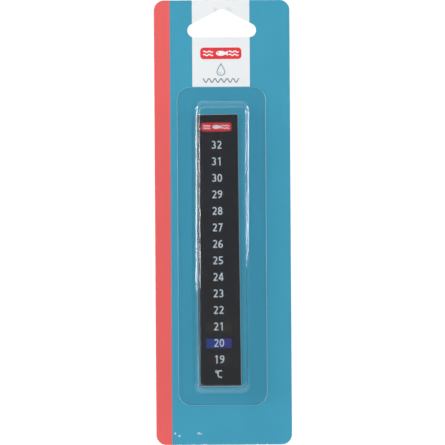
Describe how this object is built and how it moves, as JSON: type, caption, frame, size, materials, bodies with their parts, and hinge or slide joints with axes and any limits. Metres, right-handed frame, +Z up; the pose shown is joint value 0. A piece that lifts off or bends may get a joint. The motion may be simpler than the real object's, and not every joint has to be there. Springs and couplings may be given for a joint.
{
  "type": "strip thermometer on a hang card",
  "caption": "Flat liquid-crystal strip thermometer for the outside of aquarium glass, loose in the pocket of a clear blister on a printed hang card with a display slot.",
  "frame": {"origin": "peak of the hang slot, midway through the card's thickness, where a display peg bears", "axes": "+Z up the card, -Y the printed front that the blister stands on, +X to the right as the front is read"},
  "size_m": [0.065, 0.006, 0.2129],
  "materials": {
    "printed_board": "satin varnish",
    "seal_lacquer": "gloss",
    "clear_sheet": "gloss",
    "clear_film": "gloss",
    "mask_ink": "satin",
    "crystal_dark": "satin",
    "crystal_lit": "satin",
    "black_coat": "matt",
    "clear_adhesive": "tacky",
    "liner_paper": "siliconed",
    "numeral_ink": "satin",
    "badge_red_ink": "satin",
    "badge_white_ink": "satin",
    "emblem_ink": "satin"
  },
  "bodies": {
    "card": {"hang_card": "printed_board", "seal_coat": "seal_lacquer"},
    "blister": {"blister": "clear_sheet"},
    "thermometer": {"release_liner": "liner_paper", "adhesive": "clear_adhesive", "backing_coat": "black_coat", "crystal_patch_19": "crystal_dark", "crystal_patch_20": "crystal_lit", "crystal_patch_21": "crystal_dark", "crystal_patch_22": "crystal_dark", "crystal_patch_23": "crystal_dark", "crystal_patch_24": "crystal_dark", "crystal_patch_25": "crystal_dark", "crystal_patch_26": "crystal_dark", "crystal_patch_27": "crystal_dark", "crystal_patch_28": "crystal_dark", "crystal_patch_29": "crystal_dark", "crystal_patch_30": "crystal_dark", "crystal_patch_31": "crystal_dark", "crystal_patch_32": "crystal_dark", "mask_print": "mask_ink", "face_film": "clear_film"}
  },
  "joints": [
    {"name": "blister_peel", "type": "hinge", "parent": "card", "child": "blister", "pos_m": [-0.00045, -0.00035, -0.0373], "axis": [-1, 0, 0], "range_deg": [0, 100]},
    {"name": "thermometer_slide", "type": "slide", "parent": "card", "child": "thermometer", "axis": [0, 0, 1], "range_m": [-0.0015, 0.0032]}
  ]
}
